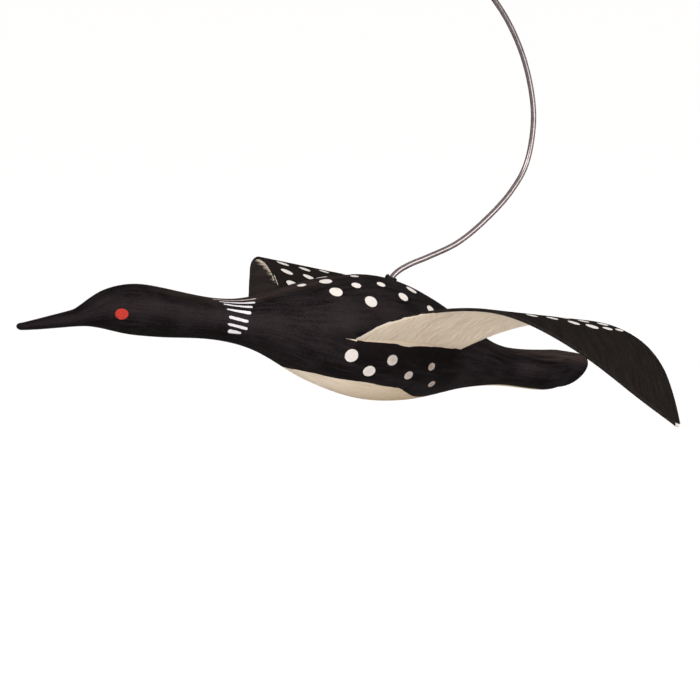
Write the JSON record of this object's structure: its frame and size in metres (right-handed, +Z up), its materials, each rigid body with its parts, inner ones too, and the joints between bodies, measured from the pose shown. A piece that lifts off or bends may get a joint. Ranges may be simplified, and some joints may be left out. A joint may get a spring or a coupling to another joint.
{
  "type": "hanging carved loon decoy",
  "caption": "Carved and painted wooden loon in flight, with thin bent-board wings let into its flanks, hung by an eye at the end of a bowed steel wire out of its back.",
  "frame": {"origin": "centre of the eye at the upper end of the hanging wire, which the bird hangs from with its centre of gravity straight below", "axes": "+Z up as it hangs, -X the way the bill points, -Y towards the tip of the bird's left wing and +Y towards the tip of its right wing"},
  "size_m": [0.4968, 0.575, 0.3605],
  "materials": {
    "painted_body": "satin black hand-brushed paint with white spots and necklace stripes, red eyes and a cream belly",
    "painted_wing": "satin black hand-brushed paint with white spots on top, and cream brushed out over black underneath",
    "bare_steel": "bare drawn wire, dull bright"
  },
  "bodies": {
    "root": {"body": "painted_body", "left_wing": "painted_wing", "right_wing": "painted_wing", "hanging_wire": "bare_steel"}
  },
  "joints": []
}
